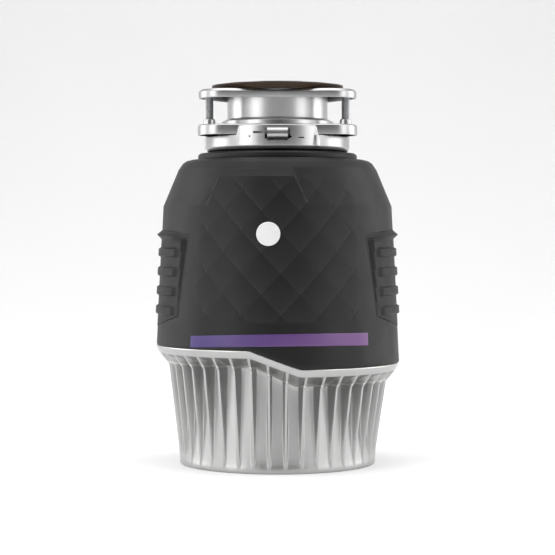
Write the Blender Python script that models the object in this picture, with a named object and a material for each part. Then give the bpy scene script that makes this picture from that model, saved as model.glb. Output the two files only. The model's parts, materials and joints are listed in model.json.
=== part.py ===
"""Kitchen garbage disposal, as an assembly of separate pieces.

Axis of the motor is Z, the front faces -Y, and the machine stands on Z = 0.
Dimensions are in millimetres in the tables below and become metres in the meshes.
"""

import math

import bmesh
import bpy

for old in list(bpy.data.objects):
    bpy.data.objects.remove(old, do_unlink=True)

MM = 0.001

# ---- driving dimensions, mm ----
HEIGHT = 322.7            # top of the sink flange
EDGE_LEFT = 101.6         # height of the shell's bottom edge on the left
EDGE_RIGHT = 86.5         # and on the right
RAMP_FROM, RAMP_TO = -12.6, 10.3   # bearings of the slanted step, degrees from the front
SHELL_R_LOW, SHELL_R_CREASE = 103.5, 97.8    # at z 102 and at z 219
Z_CREASE = 219.0
SHELL_WALL = 2.6
FINS = 40
FIN_STEP = 360.0 / FINS
CORE_R = 81.0             # cast wall between the fins
FIN_R_LOW, FIN_R_HIGH = 84.2, 92.2   # outer edge of a fin, at z 12 and under the flare
SLEEVE_R, SLEEVE_R_IN = 43.0, 41.2
FLANGE_R = 56.5
RING_R = 61.7             # lower mounting ring
LOBE_C, LOBE_R = 52.5, 21.3   # three-cornered flange: corner centre and corner radius
LOBES = (90.0, 210.0, 330.0)
SCREW_PCR, SCREW_R = 66.0, 3.25
SHAFT_R = 6.0
PIVOT_R = 50.0            # impeller rivets from the axis
GAP = 0.3

# ---- materials ----


def material(name, colour, roughness, metallic):
    mat = bpy.data.materials.new(name)
    mat.use_nodes = True
    shader = mat.node_tree.nodes["Principled BSDF"]
    shader.inputs["Base Color"].default_value = (*colour, 1.0)
    shader.inputs["Roughness"].default_value = roughness
    shader.inputs["Metallic"].default_value = metallic
    mat.diffuse_color = (*colour, 1.0)
    return mat


STEEL = material("stainless_steel", (0.62, 0.62, 0.63), 0.22, 1.0)
CAST = material("cast_aluminium", (0.62, 0.63, 0.64), 0.42, 1.0)
BLACK = material("black_plastic", (0.035, 0.035, 0.037), 0.55, 0.0)
GRIP = material("grip_plastic", (0.03, 0.03, 0.032), 0.6, 0.0)
RUBBER = material("black_rubber", (0.012, 0.012, 0.013), 0.75, 0.0)
FIBRE = material("brown_fibre", (0.17, 0.10, 0.055), 0.5, 0.0)
LIGHT = material("light_diffuser", (0.85, 0.86, 0.92), 0.3, 0.0)
VIOLET = material("violet_print", (0.13, 0.06, 0.33), 0.45, 0.0)
WHITE = material("white_print", (0.85, 0.85, 0.85), 0.45, 0.0)
COPPER = material("copper_winding", (0.55, 0.24, 0.10), 0.35, 1.0)
LAMS = material("laminations", (0.20, 0.20, 0.21), 0.5, 1.0)
BRONZE = material("bearing_bronze", (0.50, 0.33, 0.14), 0.4, 1.0)
RED = material("red_plastic", (0.55, 0.02, 0.02), 0.4, 0.0)
GREEN = material("green_screw", (0.03, 0.25, 0.07), 0.4, 0.3)
FOAM = material("foam", (0.18, 0.18, 0.19), 0.95, 0.0)
GREY = material("grey_plastic", (0.25, 0.25, 0.26), 0.5, 0.0)

# ---- mesh helpers ----


def make(name, points, faces, mat, origin=(0.0, 0.0, 0.0), sharp=35.0):
    """One closed mesh, its points in mm, faces turned outwards, with its origin on its own axis."""
    mesh = bpy.data.meshes.new(name)
    ox, oy, oz = origin
    mesh.from_pydata(
        [((x - ox) * MM, (y - oy) * MM, (z - oz) * MM) for x, y, z in points], [], faces
    )
    work = bmesh.new()
    work.from_mesh(mesh)
    bmesh.ops.recalc_face_normals(work, faces=work.faces)
    work.to_mesh(mesh)
    work.free()
    mesh.shade_smooth()
    mesh.set_sharp_from_angle(angle=math.radians(sharp))
    obj = bpy.data.objects.new(name, mesh)
    obj.location = (ox * MM, oy * MM, oz * MM)
    if mat is not None:
        mesh.materials.append(mat)
    bpy.context.scene.collection.objects.link(obj)
    return obj


def even(count, start=0.0):
    return [start + 360.0 * i / count for i in range(count)]


def revolve(name, profile, angles, mat, centre=(0.0, 0.0), origin=None):
    """A turned piece. profile is a list of (r, z), or a function of the angle in degrees that gives one.
    A profile whose first and last points lie on the axis makes a solid, any other closes on itself."""
    at = profile if callable(profile) else (lambda _a: profile)
    cx, cy = centre
    points, faces = [], []
    first = at(angles[0])
    solid = first[0][0] == 0 and first[-1][0] == 0
    n = len(first) - 2 if solid else len(first)
    for a in angles:
        c, s = math.cos(math.radians(a)), math.sin(math.radians(a))
        loop = at(a)
        for r, z in loop[1:-1] if solid else loop:
            points.append((cx + r * c, cy + r * s, z))
    m = len(angles)
    for i in range(m):
        j = (i + 1) % m
        for k in range(n - 1 if solid else n):
            q = (k + 1) % n
            faces.append((i * n + k, i * n + q, j * n + q, j * n + k))
    if solid:
        low, high = len(points), len(points) + 1
        points += [(cx, cy, first[0][1]), (cx, cy, first[-1][1])]
        for i in range(m):
            j = (i + 1) % m
            faces.append((low, i * n, j * n))
            faces.append((high, j * n + n - 1, i * n + n - 1))
    return make(name, points, faces, mat, origin or (cx, cy, 0.0))


def rod(name, r, z0, z1, mat, centre=(0.0, 0.0), count=16, start=0.0):
    return revolve(name, [(0, z0), (r, z0), (r, z1), (0, z1)], even(count, start), mat, centre)


def block(name, low, high, mat):
    (a, b, c), (d, e, f) = low, high
    points = [(x, y, z) for z in (c, f) for x, y in ((a, b), (d, b), (d, e), (a, e))]
    faces = [(0, 1, 2, 3), (4, 5, 6, 7), (0, 1, 5, 4), (1, 2, 6, 5), (2, 3, 7, 6), (3, 0, 4, 7)]
    return make(name, points, faces, mat, ((a + d) / 2, (b + e) / 2, (c + f) / 2))


def prism(name, outline, z0, z1, mat, origin=None):
    n = len(outline)
    points = [(x, y, z0) for x, y in outline] + [(x, y, z1) for x, y in outline]
    faces = [tuple(range(n)), tuple(range(n, 2 * n))]
    faces += [(i, (i + 1) % n, n + (i + 1) % n, n + i) for i in range(n)]
    return make(name, points, faces, mat, origin or (0, 0, z0))


def tube_along(name, centre, direction, length, r, mat=None, count=16):
    """A round bar along a level direction, with its middle at centre."""
    dx, dy = direction
    points, faces = [], []
    for end in (-0.5, 0.5):
        for a in even(count):
            u, w = r * math.cos(math.radians(a)), r * math.sin(math.radians(a))
            points.append(
                (centre[0] + dx * end * length - dy * u, centre[1] + dy * end * length + dx * u, centre[2] + w)
            )
    faces = [tuple(range(count)), tuple(range(count, 2 * count))]
    faces += [(i, (i + 1) % count, count + (i + 1) % count, count + i) for i in range(count)]
    return make(name, points, faces, mat, centre)


CUTTER_COUNT = [0]


def boolean(obj, other, operation):
    other.hide_render = True
    other.display_type = "WIRE"
    other.name = "tool_%02d" % CUTTER_COUNT[0]
    CUTTER_COUNT[0] += 1
    mod = obj.modifiers.new(operation.lower(), "BOOLEAN")
    mod.operation = operation
    mod.solver = "EXACT"
    mod.object = other
    return obj


def cut(obj, other):
    return boolean(obj, other, "DIFFERENCE")


def join(obj, other):
    return boolean(obj, other, "UNION")


# ---- shapes shared by several pieces ----


def bearing(a):
    """Degrees from the front (-Y), positive towards +X."""
    return (a + 90.0 + 180.0) % 360.0 - 180.0


def mix(a, b, t):
    return a + (b - a) * min(1.0, max(0.0, t))


def edge_z(a):
    """Height of the line where the shell meets the casting. The step is repeated at the back."""
    p = bearing(a)
    if abs(p) > 90.0:
        p = math.copysign(180.0, p) - p
    return mix(EDGE_LEFT, EDGE_RIGHT, (p - RAMP_FROM) / (RAMP_TO - RAMP_FROM))


def draft_r(z):
    return SHELL_R_LOW + (SHELL_R_CREASE - SHELL_R_LOW) * (z - 102.0) / (Z_CREASE - 102.0)


def shoulder_r(z):
    knots = [(219.0, 97.8), (242.0, 88.3), (250.0, 85.0), (252.4, 83.4), (255.6, 81.2), (257.6, 78.3), (258.7, 74.0)]
    if z <= 219.0:
        return draft_r(z)
    for (z0, r0), (z1, r1) in zip(knots, knots[1:]):
        if z <= z1:
            return mix(r0, r1, (z - z0) / (z1 - z0))
    return knots[-1][1]


WINDOW_MID = -10.2


def shell_r(a, z):
    """Outer radius of the shell: a drafted barrel, a conical shoulder, and a flat-topped window at the front."""
    r = shoulder_r(z)
    if 219.0 < z <= 248.8:
        half = mix(25.7, 16.5, (z - 219.0) / 29.7)
        off = max(0.0, abs(bearing(a) - WINDOW_MID) - half)
        r = max(r, draft_r(z) - 3.0 * off - 0.55 * max(0.0, z - 242.2))
    return r


def lobed_r(a, corner_c, corner_r, least=0.0):
    """Radius of the three-cornered outline: a triangle of corner centres grown by the corner radius."""
    d = min(abs((a - lobe + 180.0) % 360.0 - 180.0) for lobe in LOBES)
    t = math.radians(60.0 - d)
    flat = corner_c / 2 + corner_r
    if math.tan(t) * flat <= corner_c * math.sin(math.radians(60.0)):
        r = flat / math.cos(t)
    else:
        e = math.radians(d)
        r = corner_c * math.cos(e) + math.sqrt(corner_r**2 - (corner_c * math.sin(e)) ** 2)
    return max(r, least)


LOBED_ANGLES = even(48)

# ---- motor housing: ribbed casting ----


def casting(a):
    """The wall between the fins is nearly upright. Each fin is a wedge that widens upwards and braces the flared lip."""
    e = edge_z(a)
    nearest = round((a - FIN_STEP / 2) / FIN_STEP) * FIN_STEP + FIN_STEP / 2
    tip = abs(a - nearest) < 0.1
    return [
        (0, 7.0), (75.0, 7.0), (75.6, 0.0), (82.0, 0.0), (83.6, 1.8), (83.6, 4.5),
        (FIN_R_LOW, 12.0) if tip else (CORE_R, 8.5),
        (FIN_R_HIGH, e - 20.0) if tip else (CORE_R + 0.6, e - 20.0),
        (93.4, e - 15.4) if tip else (CORE_R + 1.2, e - 14.2),
        (101.4, e - 6.4), (103.2, e - 5.4), (103.6, e), (97.5, e + 0.05), (97.4, 120.0), (0, 120.0),
    ]


STEP_BEARINGS = [RAMP_FROM, RAMP_TO, 180.0 - RAMP_TO, -180.0 - RAMP_FROM]
fin_angles = sorted([FIN_STEP * (k + 0.5) + d for k in range(FINS) for d in (-1.15, 0.0, 1.15)] + [(p - 90.0) % 360.0 for p in STEP_BEARINGS])
housing = revolve("motor_housing", casting, fin_angles, CAST)
cut(housing, revolve("t", [(0, 24.3), (14.5, 24.3), (14.5, 11.0), (75.0, 11.0), (75.4, 48.0), (77.5, 48.0), (77.5, 105.0), (83.0, 107.0), (83.0, 130.0), (0, 130.0)], even(36), None))
cut(housing, rod("t", 9.4, 9.3, 30.0, None, count=24))
cut(housing, rod("t", 5.0, 4.0, 13.0, None, (-30.0, -45.0)))
cut(housing, block("t", (17.0, -48.0, 4.0), (41.0, -30.0, 13.0), None))
cut(housing, rod("t", 11.1, 4.0, 13.0, None, (40.0, 30.0), 20))
cut(housing, rod("t", 2.7, 4.0, 13.0, None, (60.0, -4.0), 12))
cut(housing, rod("t", 2.1, 4.0, 13.0, None, (29.0, -53.0), 12))
BOLTS = [(91.7 * math.cos(math.radians(a)), 91.7 * math.sin(math.radians(a))) for a in (45.0, 135.0, 225.0, 315.0)]
for at in BOLTS:
    cut(housing, rod("t", 2.9, 106.0, 125.0, None, at, 12))

# ---- bottom fittings ----
revolve("lower_bearing", [(6.3, 9.7), (9.1, 9.7), (9.1, 24.0), (6.3, 24.0)], even(16), BRONZE)
overload = block("overload_protector", (-44.0, -56.0, 11.3), (-18.0, -34.0, 27.0), BLACK)
cut(overload, rod("t", 4.7, 10.0, 15.2, None, (-30.0, -45.0)))
revolve("reset_button", [(0, 3.0), (3.4, 3.0), (4.0, 3.8), (4.0, 12.0), (0, 12.0)], even(16), RED, (-30.0, -45.0))
cover = block("terminal_cover", (12.0, -57.0, 5.0), (46.0, -25.0, 6.7), STEEL)
cut(cover, rod("t", 2.3, 4.0, 8.0, None, (29.0, -53.0), 12))
revolve("terminal_cover_screw", [(0, 2.6), (3.2, 2.6), (3.8, 3.4), (3.8, 4.7), (1.8, 4.7), (1.8, 12.6), (0, 12.6)], even(12), STEEL, (29.0, -53.0))
revolve("ground_screw", [(0, 2.6), (4.6, 2.6), (4.6, 6.7), (2.3, 6.7), (2.3, 12.0), (0, 12.0)], even(6), GREEN, (60.0, -4.0))
revolve("cord_gland", [(8.5, 2.4), (13.6, 2.4), (13.6, 6.7), (10.6, 6.7), (10.6, 15.0), (8.5, 15.0)], even(16), GREY, (40.0, 30.0))

# ---- motor ----
revolve("motor_shaft", [(0, 10.0), (5.6, 10.0), (SHAFT_R, 10.6), (SHAFT_R, 180.0), (5.2, 181.0), (0, 181.0)], even(16), STEEL)
revolve("centrifugal_actuator", [(6.3, 26.0), (20.0, 26.0), (20.0, 28.2), (11.0, 29.2), (11.0, 35.0), (6.3, 35.0)], even(16), GREY)
block("start_switch", (18.0, -10.0, 11.3), (42.0, 8.0, 25.4), BLACK)
tube_along("start_capacitor", (0.0, 52.0, 21.9), (1.0, 0.0), 50.0, 10.3, GREY, 20)
revolve("rotor_core", [(6.3, 48.5), (41.0, 48.5), (41.0, 103.8), (6.3, 103.8)], even(24), LAMS)
revolve("rotor_end_ring_lower", [(26.0, 40.5), (37.0, 40.5), (38.5, 42.0), (38.5, 48.2), (26.0, 48.2)], even(20), CAST)
revolve("rotor_end_ring_upper", [(26.0, 104.1), (38.5, 104.1), (38.5, 110.0), (37.0, 111.5), (26.0, 111.5)], even(20), CAST)


def stator(a):
    slot = int(round(a / 7.5)) % 2 == 0
    r = 47.5 if slot else 41.6
    return [(r, 48.4), (77.0, 48.4), (77.0, 104.0), (r, 104.0)]


revolve("stator_core", stator, even(48), LAMS)
revolve("stator_winding_lower", [(50.0, 35.5), (53.0, 33.5), (68.0, 33.5), (71.0, 36.5), (71.0, 48.1), (48.0, 48.1)], even(24), COPPER)
revolve("stator_winding_upper", [(48.0, 104.3), (71.0, 104.3), (71.0, 114.0), (68.0, 117.0), (53.0, 117.0), (50.0, 115.0)], even(24), COPPER)

# ---- upper end bell with the discharge outlet ----
PORT_Z, PORT_R = 146.3, 16.5
bell = revolve(
    "upper_end_bell",
    [
        (10.8, 112.0), (16.5, 112.0), (16.5, 123.5), (84.0, 123.5), (84.0, 120.3), (97.0, 120.3),
        (97.0, 126.3), (86.5, 126.3), (86.5, 166.0), (82.5, 166.0), (82.5, 128.5), (17.5, 128.5),
        (17.5, 148.0), (10.8, 148.0),
    ],
    even(32), CAST,
)
join(bell, tube_along("t", (0.0, 89.05, PORT_Z), (0.0, 1.0), 14.9, 19.4, None, 24))
cut(bell, tube_along("t", (0.0, 88.0, PORT_Z), (0.0, 1.0), 24.0, PORT_R, None, 24))
for at in BOLTS:
    cut(bell, rod("t", 2.9, 118.0, 130.0, None, at, 12))
for number, at in enumerate(BOLTS):
    revolve("end_bell_bolt_%d" % (number + 1), [(0, 108.0), (2.5, 108.0), (2.5, 126.7), (4.6, 126.7), (4.6, 130.2), (0, 130.2)], even(6, 30.0), STEEL, at)
revolve("upper_bearing", [(6.3, 113.0), (10.5, 113.0), (10.5, 129.0), (6.3, 129.0)], even(16), BRONZE)
revolve("shaft_seal", [(6.3, 131.0), (10.5, 131.0), (10.5, 148.3), (13.5, 149.0), (13.5, 152.0), (6.3, 152.0)], even(16), RUBBER)

# ---- grinding ----
revolve("turntable", [(6.3, 158.0), (14.0, 158.0), (14.0, 168.5), (72.0, 170.8), (72.0, 173.4), (14.0, 173.9), (6.3, 173.9)], even(32), STEEL)
table = bpy.data.objects["turntable"]
for side in (-1.0, 1.0):
    cut(table, rod("t", 4.2, 165.0, 180.0, None, (side * PIVOT_R, 0.0), 16))
revolve("turntable_nut", [(7.3, 174.2), (11.5, 174.2), (11.5, 179.6), (7.3, 179.6)], even(6), STEEL)


def impeller_outline(side):
    """A swivelling lug: a rounded arm about its rivet, longer on the side it throws."""
    out = []
    for i in range(9):
        t = math.radians(90.0 + 180.0 * i / 8)
        out.append((9.0 * math.cos(t), 9.0 * math.sin(t)))
    for x, y in ((12.0, -8.0), (17.0, -5.0), (17.6, 0.0), (17.0, 5.0), (12.0, 8.0)):
        out.append((x, y))
    return [(side * PIVOT_R + side * x, side * y) for x, y in out]


for side, tag in ((-1.0, "a"), (1.0, "b")):
    lug = prism("impeller_" + tag, impeller_outline(side), 174.3, 186.5, STEEL, (side * PIVOT_R, 0.0, 174.3))
    x0, x1 = sorted((side * (PIVOT_R - 12.0), side * (PIVOT_R + 9.6)))
    cut(lug, block("t", (x0, -12.0, 177.6), (x1, 12.0, 190.0), None))
    cut(lug, rod("t", 4.3, 170.0, 180.0, None, (side * PIVOT_R, 0.0), 16))
    revolve(
        "impeller_rivet_" + tag,
        [(0, 165.5), (6.6, 165.5), (6.6, 168.8), (3.9, 168.8), (3.9, 177.9), (6.6, 177.9), (5.4, 180.2), (0, 181.0)],
        even(16), STEEL, (side * PIVOT_R, 0.0),
    )


def shredder(a):
    cut_in = int(round(a / 7.5)) % 2 == 0
    r = 76.2 if cut_in else 73.6
    return [(73.6, 166.4), (80.8, 166.4), (80.8, 190.0), (r, 190.0), (r, 172.0)]


revolve("shredder_ring", shredder, even(48), STEEL)
container = revolve(
    "grind_container",
    [
        (81.5, 166.4), (95.0, 166.4), (95.0, 169.6), (84.0, 169.6), (84.0, 215.0), (78.5, 231.0), (60.0, 246.6),
        (43.0, 252.6), (40.5, 256.0), (40.5, 276.0), (45.0, 276.0), (45.0, 279.0), (38.5, 279.0), (38.5, 254.5),
        (42.0, 250.4), (58.5, 244.6), (76.3, 229.4), (81.5, 214.0),
    ],
    even(32), STEEL,
)
INLET = math.radians(125.0)
IN_X, IN_Y = math.cos(INLET), math.sin(INLET)
join(container, tube_along("t", (90.8 * IN_X, 90.8 * IN_Y, 205.0), (IN_X, IN_Y), 16.8, 11.0, None, 20))
cut(container, tube_along("t", (90.8 * IN_X, 90.8 * IN_Y, 205.0), (IN_X, IN_Y), 26.0, 8.6, None, 20))
tube_along("dishwasher_plug", (85.0 * IN_X, 85.0 * IN_Y, 205.0), (IN_X, IN_Y), 2.6, 8.2, GREY, 20)
foam = revolve("sound_insulation", [(85.3, 170.0), (94.4, 170.0), (91.5, 211.0), (85.3, 211.0)], even(28), FOAM)
cut(foam, tube_along("t", (90.8 * IN_X, 90.8 * IN_Y, 205.0), (IN_X, IN_Y), 26.0, 11.8, None, 20))

# ---- outer shell ----
GRIP_HALF = 40.0
GRIP_LOW, GRIP_HIGH = 118.0, 203.0


def grip_here(a):
    return abs(abs(bearing(a)) - 90.0) < GRIP_HALF + 0.01


def shell(a):
    e = edge_z(a) + GAP
    rows = [(draft_r(e), e)]
    sunk = 1.5 if grip_here(a) else 0.0
    rows.append((draft_r(GRIP_LOW - 0.9), GRIP_LOW - 0.9))
    rows.append((draft_r(GRIP_LOW - 0.6) - sunk, GRIP_LOW - 0.6))
    rows.append((draft_r(GRIP_HIGH + 0.6) - sunk, GRIP_HIGH + 0.6))
    rows.append((draft_r(GRIP_HIGH + 0.9), GRIP_HIGH + 0.9))
    for z in (219.0, 242.2, 248.7, 252.4, 257.6, 258.7):
        rows.append((shell_r(a, z), z))
    rows += [(66.5, 258.7), (66.5, 256.0), (77.0, 255.6)]
    for z in (248.7, 219.0):
        rows.append((shell_r(a, z) - 3.6, z - 0.8))
    rows.append((draft_r(e) - SHELL_WALL - 1.4, e))
    return rows


SHELL_BEARINGS = sorted(set(list(range(-180, 180, 10)) + [-45, -35, -25, -15, -5, 5, 15, 25] + STEP_BEARINGS))
shell_angles = []
for degrees in SHELL_BEARINGS:
    shell_angles.append(degrees - 90.0)
    if abs(degrees) in (50, 130):
        shell_angles.append(degrees - 90.0 + (0.4 if degrees in (-130, 50) else -0.4))
shell_angles = [x + (0.0) for x in sorted(set(shell_angles))]


def grip_here_shell(a):
    return abs(abs(bearing(a)) - 90.0) <= GRIP_HALF + 0.01


outer = revolve("outer_shell", shell, shell_angles, BLACK)
cut(outer, tube_along("t", (0.0, 98.0, PORT_Z), (0.0, 1.0), 30.0, 22.0, None, 24))
cut(outer, tube_along("t", (96.0 * IN_X, 96.0 * IN_Y, 205.0), (IN_X, IN_Y), 24.0, 13.0, None, 20))
revolve("top_ring", [(46.0, 256.4), (66.1, 256.4), (66.1, 259.0), (68.1, 259.0), (68.1, 262.7), (66.6, 264.2), (47.0, 264.2), (46.0, 263.4)], even(40), BLACK)


def patch(name, bearings, zs, inner, outer_r, mat):
    """A curved plate on the barrel: a grid over bearing and height, inner and outer skins joined at the rim."""
    points, faces = [], []
    nu, nv = len(bearings), len(zs)
    for skin in (inner, outer_r):
        for p in bearings:
            for k in range(nv):
                z = zs[k](p) if callable(zs[k]) else zs[k]
                r = skin(p, k, z)
                a = math.radians(p - 90.0)
                points.append((r * math.cos(a), r * math.sin(a), z))
    half = nu * nv
    for i in range(nu - 1):
        for k in range(nv - 1):
            q = (i * nv + k, i * nv + k + 1, (i + 1) * nv + k + 1, (i + 1) * nv + k)
            faces.append(q)
            faces.append(tuple(half + v for v in q))
    rim = [i * nv for i in range(nu)] + [(nu - 1) * nv + k for k in range(1, nv)]
    rim += [i * nv + nv - 1 for i in range(nu - 2, -1, -1)] + [k for k in range(nv - 2, 0, -1)]
    for v, w in zip(rim, rim[1:] + rim[:1]):
        faces.append((v, w, half + w, half + v))
    return make(name, points, faces, mat)


BARS = [(177.2, 183.4), (161.0, 167.4), (144.8, 151.0), (128.6, 134.8)]


def grip(side):
    zs, proud = [GRIP_LOW], [0.3]
    for low, high in reversed(BARS):
        zs += [low, low + 1.2, high - 1.2, high]
        proud += [0.3, 2.1, 2.1, 0.3]
    zs += [196.2, 198.8, GRIP_HIGH]
    proud += [0.3, 4.4, 0.3]
    spread = [-39.3, -30.0, -20.0, -10.0, 0.0, 10.0, 20.0, 30.0, 39.3]

    def outside(p, k, z):
        d = abs(p - side * 90.0)
        extra = proud[k] if d < 31.0 else min(proud[k], 0.3)
        return draft_r(z) + extra

    def inside(p, k, z):
        return draft_r(z) - 1.2

    return patch("side_grip_" + ("left" if side < 0 else "right"), [side * 90.0 + s for s in spread], zs, inside, outside, GRIP)


grip(-1.0)
grip(1.0)


def band_top(p):
    t = p / 50.0
    return 115.1 + 1.5 * t - 2.1 * t * t


def band_low(p):
    t = p / 50.0
    return 105.3 + 1.0 * t - 2.2 * t * t


patch("trim_band", [-43.3 + 89.0 * i / 14 for i in range(15)], [band_low, band_top],
      lambda p, k, z: draft_r(z) + 0.3, lambda p, k, z: draft_r(z) + 0.65, VIOLET)

# ---- round badge, bent to the barrel ----
BADGE_P, BADGE_Z, BADGE_R = -4.3, 195.6, 9.7
badge_points, badge_faces = [], []
for skin in (0.35, 0.8):
    for i in range(24):
        t = math.radians(15.0 * i)
        z = BADGE_Z + BADGE_R * math.sin(t)
        a = math.radians(BADGE_P - 90.0) + BADGE_R * math.cos(t) / draft_r(z)
        badge_points.append(((draft_r(z) + skin) * math.cos(a), (draft_r(z) + skin) * math.sin(a), z))
    a = math.radians(BADGE_P - 90.0)
    badge_points.append(((draft_r(BADGE_Z) + skin) * math.cos(a), (draft_r(BADGE_Z) + skin) * math.sin(a), BADGE_Z))
for i in range(24):
    j = (i + 1) % 24
    badge_faces += [(24, i, j), (49, 25 + j, 25 + i), (i, 25 + i, 25 + j, j)]
make("badge_disc", badge_points, badge_faces, WHITE)

# ---- sink mount ----
revolve(
    "mounting_gasket",
    [
        (40.8, 264.8), (44.6, 264.8), (45.0, 265.2), (45.0, 271.8), (49.5, 272.1), (49.5, 281.0), (46.4, 284.5),
        (46.3, 288.5), (41.4, 288.5), (41.4, 283.0), (38.8, 283.0), (38.8, 279.3), (45.3, 279.3), (45.3, 275.7), (40.8, 275.7),
    ],
    even(28), RUBBER,
)
EAR_HALF = 34.0


def ring_top(a):
    d = min(abs((a - m + 180.0) % 360.0 - 180.0) for m in (30.0, 150.0, 270.0))
    return mix(286.0, 278.2, (d - (EAR_HALF - 2.5)) / 2.5)


def lower_ring(a):
    t = ring_top(a)
    return [
        (45.5, 269.4), (58.5, 266.5), (61.0, 267.6), (RING_R, 269.8), (RING_R, t), (59.7, t), (59.7, 270.8),
        (58.2, 269.1), (45.5, 271.6),
    ]


ring_angles = sorted(set(even(36) + [m + s * d for m in (30.0, 150.0, 270.0) for s in (-1, 1) for d in (31.5, 34.0)]))
ring = revolve("lower_mounting_ring", lower_ring, ring_angles, STEEL)
for m in (30.0, 150.0, 270.0):
    c, s = math.cos(math.radians(m)), math.sin(math.radians(m))
    at = (60.2 * c, 60.2 * s, 278.6)
    join(ring, tube_along("t", at, (-s, c), 17.0, 6.0, None, 12))
for m in (30.0, 150.0, 270.0):
    c, s = math.cos(math.radians(m)), math.sin(math.radians(m))
    at = (60.2 * c, 60.2 * s, 278.6)
    cut(ring, tube_along("t", at, (-s, c), 40.0, 4.3, None, 12))


def upper_ring(a):
    t = lobed_r(a, LOBE_C, LOBE_R + 0.5, 51.6)
    return [
        (46.9, 285.6), (t - 1.8, 285.6), (t - 1.8, 278.8), (t, 278.8), (t, 286.5), (t - 1.1, 287.6), (48.1, 287.6),
        (48.1, 291.4), (43.5, 293.8), (43.3, 292.9), (46.9, 290.8),
    ]


upper = revolve("upper_mounting_ring", upper_ring, LOBED_ANGLES, STEEL)
SCREWS = [(SCREW_PCR * math.cos(math.radians(a)), SCREW_PCR * math.sin(math.radians(a))) for a in LOBES]
for at in SCREWS:
    join(upper, rod("t", 4.9, 286.4, 292.0, None, at, 14, 5.3))
for at in SCREWS:
    cut(upper, rod("t", SCREW_R + 0.45, 270.0, 300.0, None, at, 12, 3.1))


def backup(a):
    t = lobed_r(a, LOBE_C, LOBE_R)
    return [(43.5, 315.4), (t - 1.9, 315.4), (t - 1.9, 311.0), (t, 311.0), (t, 315.6), (t - 1.8, 317.2), (43.5, 317.2)]


revolve("backup_flange", backup, LOBED_ANGLES, STEEL)
for tag, at in zip(("rear", "left", "right"), SCREWS):
    revolve(
        "mounting_screw_" + tag,
        [(0, 279.6), (SCREW_R, 279.6), (SCREW_R, 313.4), (2.0, 315.0), (0, 315.0)],
        even(12), STEEL, at,
    )
revolve("snap_ring", [(43.5, 289.7), (45.4, 289.7), (45.4, 291.0), (43.5, 291.0)], even(40), STEEL)
revolve(
    "sink_flange",
    [
        (SLEEVE_R_IN, 289.0), (SLEEVE_R, 289.0), (SLEEVE_R, 317.5), (47.5, 319.0), (55.6, 321.9), (56.5, 322.1),
        (FLANGE_R, 322.5), (54.8, HEIGHT), (46.6, 320.3), (SLEEVE_R_IN, 316.2), (SLEEVE_R_IN, 312.3),
        (42.2, 312.3), (42.2, 307.7), (SLEEVE_R_IN, 307.7),
    ],
    even(40), STEEL,
)
revolve("led_light_ring", [(41.25, 308.0), (41.9, 308.0), (41.9, 312.0), (41.25, 312.0)], even(24), LIGHT)
revolve("fiber_gasket", [(47.9, 317.5), (50.2, 317.5), (56.3, 321.1), (56.3, 321.65), (55.4, 321.5), (47.9, 318.5)], even(40), FIBRE)
revolve(
    "splash_baffle",
    [(18.0, 285.0), (32.0, 284.0), (38.5, 283.3), (40.8, 283.3), (40.8, 300.0), (38.8, 300.0), (38.8, 286.0), (32.0, 286.2), (18.0, 287.0)],
    even(24), RUBBER,
)
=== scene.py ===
import json
import math

import bmesh
import bpy
import numpy as np
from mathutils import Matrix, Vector

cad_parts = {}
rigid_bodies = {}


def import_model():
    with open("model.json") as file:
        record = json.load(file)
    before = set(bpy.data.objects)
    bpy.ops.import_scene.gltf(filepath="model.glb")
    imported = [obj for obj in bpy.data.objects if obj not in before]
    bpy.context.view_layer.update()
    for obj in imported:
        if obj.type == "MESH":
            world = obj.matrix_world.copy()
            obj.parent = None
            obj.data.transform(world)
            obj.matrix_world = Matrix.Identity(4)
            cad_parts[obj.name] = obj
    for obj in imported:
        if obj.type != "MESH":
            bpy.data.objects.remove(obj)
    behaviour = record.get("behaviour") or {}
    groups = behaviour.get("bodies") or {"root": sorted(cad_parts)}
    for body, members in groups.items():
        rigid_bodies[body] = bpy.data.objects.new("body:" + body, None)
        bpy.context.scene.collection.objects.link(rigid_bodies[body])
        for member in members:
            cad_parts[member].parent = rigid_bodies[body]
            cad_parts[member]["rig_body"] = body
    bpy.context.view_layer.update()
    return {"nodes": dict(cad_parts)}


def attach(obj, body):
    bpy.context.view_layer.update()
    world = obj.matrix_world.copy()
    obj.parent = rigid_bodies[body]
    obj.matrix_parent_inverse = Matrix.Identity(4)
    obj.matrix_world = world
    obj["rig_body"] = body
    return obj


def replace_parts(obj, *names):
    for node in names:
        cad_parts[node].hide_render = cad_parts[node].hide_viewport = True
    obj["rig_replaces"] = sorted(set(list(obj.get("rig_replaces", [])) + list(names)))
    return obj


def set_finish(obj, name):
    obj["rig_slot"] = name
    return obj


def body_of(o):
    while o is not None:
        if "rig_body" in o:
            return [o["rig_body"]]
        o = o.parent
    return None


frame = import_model()
MM = 0.001
NODES = frame["nodes"]

# ------------------------------------------------------------------ materials


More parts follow.
